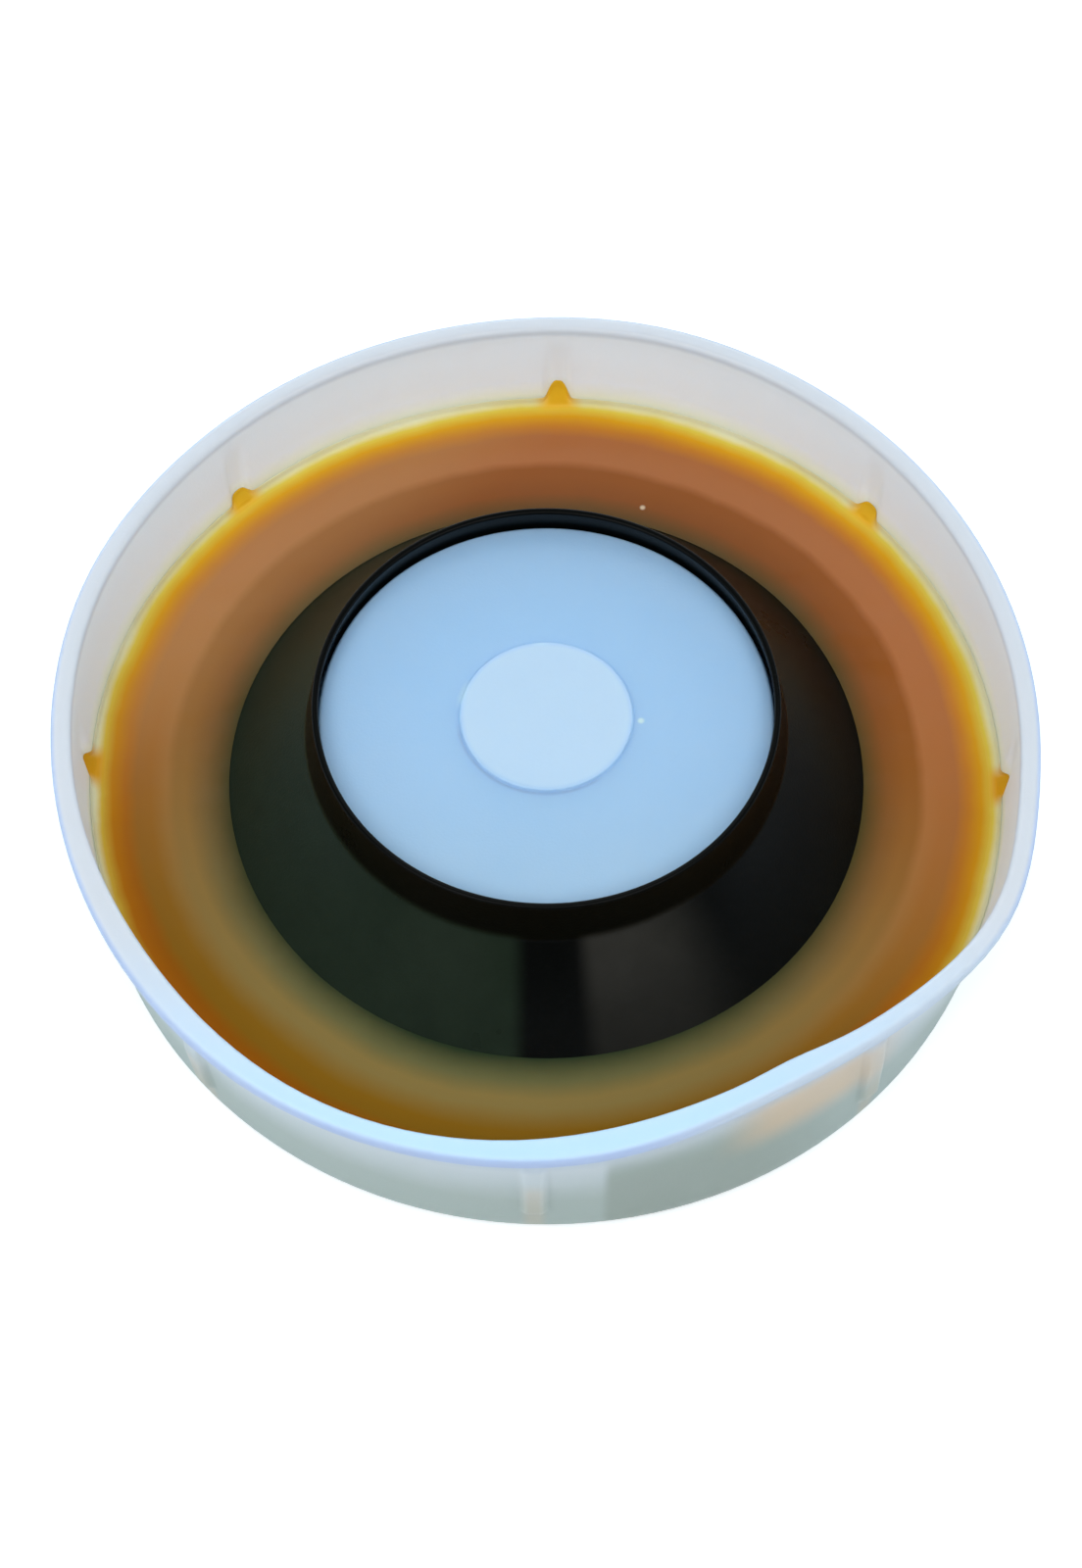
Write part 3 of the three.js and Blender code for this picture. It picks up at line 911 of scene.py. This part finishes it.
def stain_share(tree, tub, wax, place):
    """Where wax lies close behind the wall: in each flute, and high up in the dent."""
    in_flute = flute_share(tree, tub, place, FLUTE_STAIN)
    filled = between(tree, place["Height"], wax.level + 6 * MM, wax.level + 1 * MM)
    flute = calculate(tree, "MULTIPLY", in_flute, filled)
    flute = calculate(tree, "MULTIPLY", flute, FLUTE_STAIN_SHARE)
    over = between(tree, place["Height"], wax.level - 5 * MM, wax.level + 3 * MM)
    under = between(tree, place["Height"], tub.height - 5 * MM, wax.level + 7 * MM)
    dent = sector_share(tree, place["Angle"], DENT_STAIN)
    dent = calculate(tree, "MULTIPLY", dent, calculate(tree, "MULTIPLY", over, under))
    dent = calculate(tree, "MULTIPLY", dent, DENT_STAIN_SHARE)
    return calculate(tree, "MAXIMUM", flute, dent)


def make_wax_finish(tub, wax, horn):
    """Amber wax: dark where the horn shows through it, yellow where it thins out."""
    finish = Finish("amber_wax")
    tree = finish.tree
    finish.set(IOR=1.44, Specular_IOR_Level=0.2, Subsurface_Weight=0.1)
    finish.set(Subsurface_Scale=LIGHT_DEPTH, Subsurface_Radius=(1.0, 0.35, 0.1))
    place = finish.group("turned_place")
    clouds = finish.group("cloudiness", Fine_share=0.25)["Clouds"]
    ragged = calculate(tree, "MULTIPLY_ADD", clouds, RAGGED, finish.attribute("turned_radius"))
    foot = cone_radius(tub, horn, wax.level)
    edge = wall_radius(tub, wax.level)
    flange = horn.flange_radius

    def bands(side, step):
        """The colours for the back, or the front's copies with painted shade, from the horn to the
        wall.
        """
        shades = {name: getattr(wax, f"{side}{name}_colour") for name in WAX_BANDS}
        return finish.ramp(
            ragged,
            [
                (foot, shades["cone"]),
                (foot + 4.0 * MM, shades["thin"]),
                (foot + 7.0 * MM, shades["flange"]),
                (flange - 2.4 * MM, shades["flange"]),
                (flange - 2.4 * MM + step, shades["middle"]),
                (edge - 6.8 * MM, shades["middle"]),
                (edge - 5.0 * MM, shades["deep"]),
                (edge - 3.0 * MM, shades["bright"]),
                (edge - 1.3 * MM, shades["edge"]),
                (edge + 0.1 * MM, wax.film_colour),
            ],
        )

    back = bands("", BACK_STEP)
    # The front's bands: copies with painted shade and painted reflection
    front = bands("painted_front_", FRONT_STEP)
    towards = calculate(tree, "MULTIPLY_ADD", place["Side"], 0.25, place["Depth"])
    whole = finish.mix(between(tree, towards, *FRONT_WAX_PAINTED_SHADE), back, front)
    # Painted light, towards the back and the left
    left_behind = calculate(tree, "SUBTRACT", place["Depth"], place["Side"])
    lit_back_left = between(tree, left_behind, *BACK_LEFT_LIGHT)
    lit_back_left = calculate(tree, "MULTIPLY", lit_back_left, between(tree, ragged, edge - 2 * MM, edge - 7 * MM))
    whole = finish.mix(calculate(tree, "MULTIPLY", lit_back_left, BACK_LEFT_LIGHT_SHARE), whole, wax.back_left_light_colour)
    by_wall = between(tree, ragged, edge - 2.4 * MM, edge - 0.6 * MM)
    in_ear = calculate(tree, "MULTIPLY", flute_share(tree, tub, place, EAR_COLOUR), by_wall)
    # Painted shade on the ears, in front
    painted_front_share = between(tree, place["Depth"], *FRONT_EARS_PAINTED_SHADE)
    ear = finish.mix(painted_front_share, wax.ear_colour, wax.painted_front_ear_colour)
    whole = finish.mix(in_ear, whole, ear)
    # Painted highlight on a bubble
    bubble = calculate(tree, "MULTIPLY", spot_share(tree, place, BUBBLE_GLINT), BUBBLE_GLINT_SHARE)
    whole = finish.mix(bubble, whole, wax.bubble_glint_colour)
    finish.link(whole, "Base Color")
    rough = calculate(tree, "MULTIPLY_ADD", clouds, 0.05, wax.roughness)
    in_edge = between(tree, ragged, edge - 2.5 * MM, edge - 0.5 * MM)
    finish.link(calculate(tree, "MULTIPLY_ADD", in_edge, 0.35, rough), "Roughness")
    grain = finish.group("surface_grain", Fine=0.06, Broad=1.0)["Height"]
    finish.bump(grain, 0.25 * MM, 0.6)
    return finish.material


def make_horn_finish(tub, horn):
    """Black moulded plastic with a satin skin, with painted sheen on the left and in a patch on the
    right.
    """
    finish = Finish("black_polyethylene")
    tree = finish.tree
    finish.set(IOR=1.5, Specular_IOR_Level=0.07)
    place = finish.group("turned_place")
    clouds = finish.group("cloudiness", Fine_share=0.5)["Clouds"]
    # Painted sheen: lighter on the left of the cone and in a patch on the right
    left = between(tree, place["Side"], *SHEEN_LEFT)
    patch = sector_share(tree, place["Angle"], HORN_SHEEN_PATCH)
    below = neck(tub, horn)[1]
    on_cone = between(tree, place["Height"], below + 1.5 * MM, below - 0.5 * MM)
    uneven = calculate(tree, "MULTIPLY_ADD", clouds, 0.15, 0.85)
    sheeny = calculate(tree, "MULTIPLY", on_cone, uneven, clamp=True)
    rise = between(tree, place["Height"], tub.height / 2, below)
    sheen_strength = calculate(tree, "MULTIPLY_ADD", rise, 0.5, 0.5)
    patch = calculate(tree, "MULTIPLY", patch, sheen_strength)
    plain = finish.mix(calculate(tree, "MULTIPLY", sheeny, left), horn.colour, horn.left_sheen_colour)
    skin = finish.mix(calculate(tree, "MULTIPLY", sheeny, patch), plain, horn.patch_sheen_colour)
    finish.link(skin, "Base Color")
    rough = calculate(tree, "MULTIPLY_ADD", clouds, 0.05, horn.roughness)
    finish.link(rough, "Roughness")
    grain = finish.group("surface_grain", Fine=0.5, Broad=0.4)["Height"]
    finish.bump(grain, 0.1 * MM, 0.5)
    return finish.material


def make_floor_finish(stage):
    """A pale floor that shows white to the camera and still takes the object's shadow."""
    finish = Finish("pale_floor")
    finish.set(Base_Color=(*stage.floor_colour, 1.0), Roughness=0.9)
    tree = finish.tree
    seen = tree.nodes.new("ShaderNodeLightPath").outputs["Is Camera Ray"]
    lift = tree.nodes.new("ShaderNodeEmission")
    tree.links.new(calculate(tree, "MULTIPLY", seen, 0.45), lift.inputs["Strength"])
    both = tree.nodes.new("ShaderNodeAddShader")
    output = next(node for node in tree.nodes if node.type == "OUTPUT_MATERIAL")
    tree.links.new(finish.shader.outputs["BSDF"], both.inputs[0])
    tree.links.new(lift.outputs["Emission"], both.inputs[1])
    tree.links.new(both.outputs["Shader"], output.inputs["Surface"])
    return finish.material


# Operators


class SEAL_OT_add_tub(bpy.types.Operator):
    """Add the frosted tub: rim, fluted wall, floor and hollow pedestal"""

    bl_idname = "seal.add_tub"
    bl_label = "Add Tub"

    def execute(self, context):
        scene = context.scene
        tub, wax, horn = scene.seal_tub, scene.seal_wax, scene.seal_horn
        piece = draw_profile("frosted_tub", self.profile(tub, horn))
        middle = spin_sector(tub)
        self.press_flute(piece, tub, middle)
        close_ring(piece, tub, middle)
        push_wall(piece, tub, horn)
        finish_piece(piece, "tub", make_tub_finish(tub, wax, horn))
        return {"FINISHED"}

    def profile(self, tub, horn):
        """The moulding's section, from the pad's middle over the rim to the hollow's middle."""
        top = disc_height(tub)
        disc = disc_radius(horn)
        shoulder = disc + tub.shoulder_width
        foot = pedestal_radius(tub, horn, tub.wall)
        inside = [
            corner(0, top),
            corner(disc, top, tub.disc_round),
            corner(disc, shoulder_height(tub, horn, disc), tub.disc_round),
            corner(shoulder, shoulder_height(tub, horn, shoulder), tub.pedestal_round),
            corner(foot, tub.wall, tub.pedestal_round),
            corner(wall_radius(tub, tub.wall), tub.wall, tub.floor_round),
            corner(wall_radius(tub, tub.height), tub.height, tub.rim_round),
        ]
        outside = offset(inside, -tub.wall)[:-1]
        lip = tub.height - tub.rim_thickness
        under = wall_radius(tub, lip) + tub.wall / cos(tub.wall_draft)
        rim = [
            corner(tub.rim_radius, tub.height, tub.rim_round),
            corner(tub.rim_radius, lip, tub.rim_round / 2),
            corner(under, lip, tub.rim_round / 2),
        ]
        pad = [
            corner(0, top + tub.pad_height),
            corner(tub.pad_radius, top + tub.pad_height, tub.pad_round),
            corner(tub.pad_radius, top, tub.pad_round),
        ]
        return trace(pad + inside[1:] + rim + outside[::-1])

    def press_flute(self, piece, tub, middle):
        """Presses one flute outwards through both faces, in steps that fade out at its top."""
        low = tub.flute_foot + tub.flute_reach
        top = tub.height - tub.rim_thickness - tub.flute_setback - tub.flute_reach
        for step in range(FLUTE_PRESSES):
            high = top - tub.flute_fade * step / (FLUTE_PRESSES - 1)

            def on_flat(place, high=high):
                in_wall = hypot(place.x, place.y) > wall_radius(tub, place.z) - 0.1 * MM
                return in_wall and low < place.z < high and beside(place, middle) < tub.flute_flat

            select_points(piece, on_flat)
            press_out(tub, middle, tub.flute_depth / FLUTE_PRESSES)


class SEAL_OT_add_wax(bpy.types.Operator):
    """Add the amber wax ring, crept up the wall and risen to an ear in each flute"""

    bl_idname = "seal.add_wax"
    bl_label = "Add Wax Ring"

    def execute(self, context):
        scene = context.scene
        tub, wax, horn = scene.seal_tub, scene.seal_wax, scene.seal_horn
        piece = draw_profile("amber_wax_ring", self.profile(tub, wax, horn))
        middle = spin_sector(tub)
        self.fill_flute(piece, tub, wax, middle)
        self.raise_ear(piece, tub, wax, middle)
        close_ring(piece, tub, middle)
        self.lower_ears(piece, tub, wax)
        push_wall(piece, tub, horn)
        finish_piece(piece, "wax_ring", make_wax_finish(tub, wax, horn))
        return {"FINISHED"}

    def profile(self, tub, wax, horn):
        """The casting's section: out over the surface, down the wall, and back round the horn."""
        level = wax.level
        crest = level + wax.creep
        low = tub.wall + wax.gap
        wall_gap = wax.gap - wax.edge_gap
        skirt = horn_section(tub, horn)[0]
        above = offset(skirt, wax.gap)
        below = offset(skirt, -horn.wall - wax.gap)
        tip = horn.flange_radius + wax.gap
        corners = [
            corner(cone_radius(tub, horn, level, wax.edge_gap), level),
            corner(wall_radius(tub, level) - wax.edge_gap - wax.film, level, wax.creep * 1.6),
            corner(wall_radius(tub, crest) - wax.edge_gap - wax.film / 3, crest, wax.film / 3),
            corner(wall_radius(tub, crest) - wax.edge_gap, crest, wax.film / 3),
            corner(wall_radius(tub, level) - wax.edge_gap, level),
            corner(wall_radius(tub, level - 2 * MM) - wax.edge_gap - wall_gap, level - 2 * MM),
            corner(wall_radius(tub, low) - wax.gap, low, tub.floor_round),
            corner(pedestal_radius(tub, horn, low) + wax.gap, low, tub.pedestal_round),
            corner(pedestal_radius(tub, horn, level) + wax.gap, level),
            corner(cone_radius(tub, horn, level, -horn.wall - wax.gap), level),
            (below[2][0], below[2][1]),
            corner(tip, below[3][0].y),
            corner(tip, above[3][0].y),
            (above[2][0], above[2][1]),
            corner(cone_radius(tub, horn, level - 2 * MM, wax.gap), level - 2 * MM),
        ]
        return trace(corners, closed=True)

    def fill_flute(self, piece, tub, wax, middle):
        """Presses the outer face alone into the flute, with the rest of the wax hidden."""
        low = tub.flute_foot + tub.flute_reach

        def outer_face(place):
            return hypot(place.x, place.y) > wall_radius(tub, place.z) - wax.gap - 0.02 * MM

        def on_flat(place):
            near = beside(place, middle) < tub.flute_flat
            return near and place.z > low and outer_face(place)

        select_points(piece, outer_face)
        bpy.ops.mesh.hide(unselected=True)
        select_points(piece, on_flat)
        press_out(tub, middle, tub.flute_depth)
        bpy.ops.mesh.reveal(select=False)

    def raise_ear(self, piece, tub, wax, middle):
        """Pulls the crept edge up in the flute."""
        crest = wax.level + wax.creep

        def on_crest(place):
            return place.z > crest - 0.05 * MM and beside(place, middle) < wax.ear_flat

        select_points(piece, on_crest)
        out = wax.ear_rise * tan(tub.wall_draft)
        bpy.ops.transform.translate(
            value=(out * cos(middle), out * sin(middle), wax.ear_rise),
            use_proportional_edit=True,
            proportional_edit_falloff="SMOOTH",
            proportional_size=wax.ear_spread,
        )

    def lower_ears(self, piece, tub, wax):
        """Lowers all ears but the one behind, along the wall."""
        crest = wax.level + wax.creep
        for vertex in piece.data.vertices:
            place = vertex.co
            away = abs(degrees(atan2(place.y, place.x)) - HIGH_EAR_PLACE)
            if place.z > crest and away > HIGH_EAR_SPREAD:
                drop = (place.z - crest) * (1 - LOW_EAR_SHARE)
                inwards = 1 - drop * tan(tub.wall_draft) / hypot(place.x, place.y)
                place.x *= inwards
                place.y *= inwards
                place.z -= drop


def horn_section(tub, horn):
    """The horn's outer corners, from its end to the flange's edge, and the inner ones."""
    neck_radius, neck_height = neck(tub, horn)
    end_height = disc_height(tub) + horn.above_disc
    flange_start = cone_radius(tub, horn, horn.flange_height)
    outside = [
        corner(horn.end_radius, end_height),
        corner(neck_radius, neck_height, horn.neck_round),
        corner(flange_start, horn.flange_height, horn.flange_round),
        corner(horn.flange_radius, horn.flange_height),
    ]
    return outside, offset(outside, -horn.wall)


class SEAL_OT_add_horn(bpy.types.Operator):
    """Add the black horn: a short tube, a cone and the flange that the wax holds"""

    bl_idname = "seal.add_horn"
    bl_label = "Add Horn"

    def execute(self, context):
        scene = context.scene
        tub, horn = scene.seal_tub, scene.seal_horn
        outside, inside = horn_section(tub, horn)
        edge = horn.wall * 0.4
        corners = outside + inside[::-1]
        for tip in (0, 3, 4, 7):
            corners[tip] = (corners[tip][0], edge)
        piece = draw_profile("black_horn", trace(corners, closed=True))
        spin(HORN_STEPS, 2 * pi)
        join_seams()
        bpy.ops.object.mode_set(mode="OBJECT")
        finish_piece(piece, "horn", make_horn_finish(tub, horn))
        return {"FINISHED"}


class SEAL_OT_add_stage(bpy.types.Operator):
    """Add the pale floor, the soft lamps and the camera"""

    bl_idname = "seal.add_stage"
    bl_label = "Add Stage"

    def execute(self, context):
        scene = context.scene
        stage = scene.seal_stage
        target = Vector((0, 0, scene.seal_wax.level))
        self.add_floor(stage)
        self.add_sky(scene, stage)
        self.add_lamps(stage, target)
        self.add_camera(scene, stage, target)
        scene.view_settings.view_transform = "Standard"
        return {"FINISHED"}

    def add_floor(self, stage):
        deselect_all()
        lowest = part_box("tub")[0].z
        bpy.ops.mesh.primitive_plane_add(size=stage.floor_size, location=(0, 0, lowest))
        floor = bpy.context.object
        floor.name = "floor"
        floor.data.materials.append(make_floor_finish(stage))

    def add_sky(self, scene, stage):
        """Soft light, plain white to the camera: less from the front, more from low down behind."""
        world = bpy.data.worlds.new("studio")
        scene.world = world
        world.use_nodes = True
        tree = world.node_tree
        sky = tree.nodes["Background"]
        place = tree.nodes.new("ShaderNodeTexCoord")
        split = tree.nodes.new("ShaderNodeSeparateXYZ")
        tree.links.new(place.outputs["Generated"], split.inputs["Vector"])
        behind = between(tree, split.outputs["Y"], -0.95, -0.1)
        level = calculate(tree, "MULTIPLY_ADD", behind, 0.85, 0.15)
        light = calculate(tree, "MULTIPLY", level, stage.sky_strength)
        low = between(tree, split.outputs["Z"], 0.6, 0.15)
        ring = calculate(tree, "MULTIPLY", between(tree, split.outputs["Y"], -0.6, 0.1), low)
        light = calculate(tree, "MULTIPLY_ADD", ring, stage.ring_strength, light)
        seen = tree.nodes.new("ShaderNodeLightPath").outputs["Is Camera Ray"]
        strength = calculate(tree, "MAXIMUM", light, seen)
        tree.links.new(strength, sky.inputs["Strength"])
        tint = tree.nodes.new("ShaderNodeMix")
        tint.data_type = "RGBA"
        tint.inputs[6].default_value = (*stage.sky_colour, 1.0)
        tint.inputs[7].default_value = (1.0, 1.0, 1.0, 1.0)
        tree.links.new(seen, tint.inputs[0])
        tree.links.new(tint.outputs[2], sky.inputs["Color"])

    def add_lamps(self, stage, target):
        """Soft lamps. Each row: turn from +X and elevation, both in degrees, distance and side
        in metres, and a share of the lamp power."""
        rows = [
            ("lamp_left", -130, 55, 0.9, 0.6, 1.0),
            ("lamp_right", -50, 55, 0.9, 0.6, 0.9),
            ("lamp_back", 90, 45, 0.9, 0.4, 0.2),
            ("panel_left", -125, 18, 0.8, 0.45, 0.16),
            ("panel_right", -67, 20, 0.8, 0.18, 0.05),
        ]
        for name, turn, rise, distance, side, power in rows:
            away = Vector((cos(radians(turn)), sin(radians(turn)), tan(radians(rise))))
            place = target + away.normalized() * distance
            bpy.ops.object.light_add(type="AREA", location=place)
            lamp = bpy.context.object
            lamp.name = name
            lamp.rotation_euler = (target - place).to_track_quat("-Z", "Y").to_euler()
            lamp.data.size = side
            lamp.data.energy = stage.lamp_power * power

    def add_camera(self, scene, stage, target):
        away = Vector((0, -cos(stage.elevation), sin(stage.elevation)))
        place = target + away * stage.distance
        bpy.ops.object.camera_add(location=place)
        camera = bpy.context.object
        camera.name = "camera"
        camera.rotation_euler = (target - place).to_track_quat("-Z", "Y").to_euler()
        camera.data.lens = stage.lens
        camera.data.shift_x = stage.shift_x
        camera.data.shift_y = stage.shift_y
        camera.data.clip_start = 0.01
        scene.camera = camera


class SEAL_PT_panel(bpy.types.Panel):
    """The pieces of the seal and their sizes and colours"""

    bl_idname = "SEAL_PT_panel"
    bl_label = "Pan Seal"
    bl_space_type = "VIEW_3D"
    bl_region_type = "UI"
    bl_category = "Pan Seal"

    def draw(self, context):
        layout = self.layout
        for operator, settings in PIECES:
            box = layout.box()
            box.operator(operator.bl_idname)
            group = getattr(context.scene, settings)
            for name in group.bl_rna.properties.keys():
                if name not in ("rna_type", "name"):
                    box.prop(group, name)


PIECES = [
    (SEAL_OT_add_tub, "seal_tub"),
    (SEAL_OT_add_wax, "seal_wax"),
    (SEAL_OT_add_horn, "seal_horn"),
    (SEAL_OT_add_stage, "seal_stage"),
]

SETTINGS = {
    "seal_tub": TubSettings,
    "seal_wax": WaxSettings,
    "seal_horn": HornSettings,
    "seal_stage": StageSettings,
}


def register():
    for name, settings in SETTINGS.items():
        bpy.utils.register_class(settings)
        setattr(bpy.types.Scene, name, bpy.props.PointerProperty(type=settings))
    for operator, _ in PIECES:
        bpy.utils.register_class(operator)
    bpy.utils.register_class(SEAL_PT_panel)


def unregister():
    bpy.utils.unregister_class(SEAL_PT_panel)
    for operator, _ in PIECES:
        bpy.utils.unregister_class(operator)
    for name, settings in SETTINGS.items():
        delattr(bpy.types.Scene, name)
        bpy.utils.unregister_class(settings)


def main():
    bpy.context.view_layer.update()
    register()
    build_turned_place()
    build_cloudiness()
    build_surface_grain()
    bpy.ops.seal.add_tub()
    bpy.ops.seal.add_wax()
    bpy.ops.seal.add_horn()
    bpy.ops.seal.add_stage()
    deselect_all()


if __name__ == "__main__":
    main()
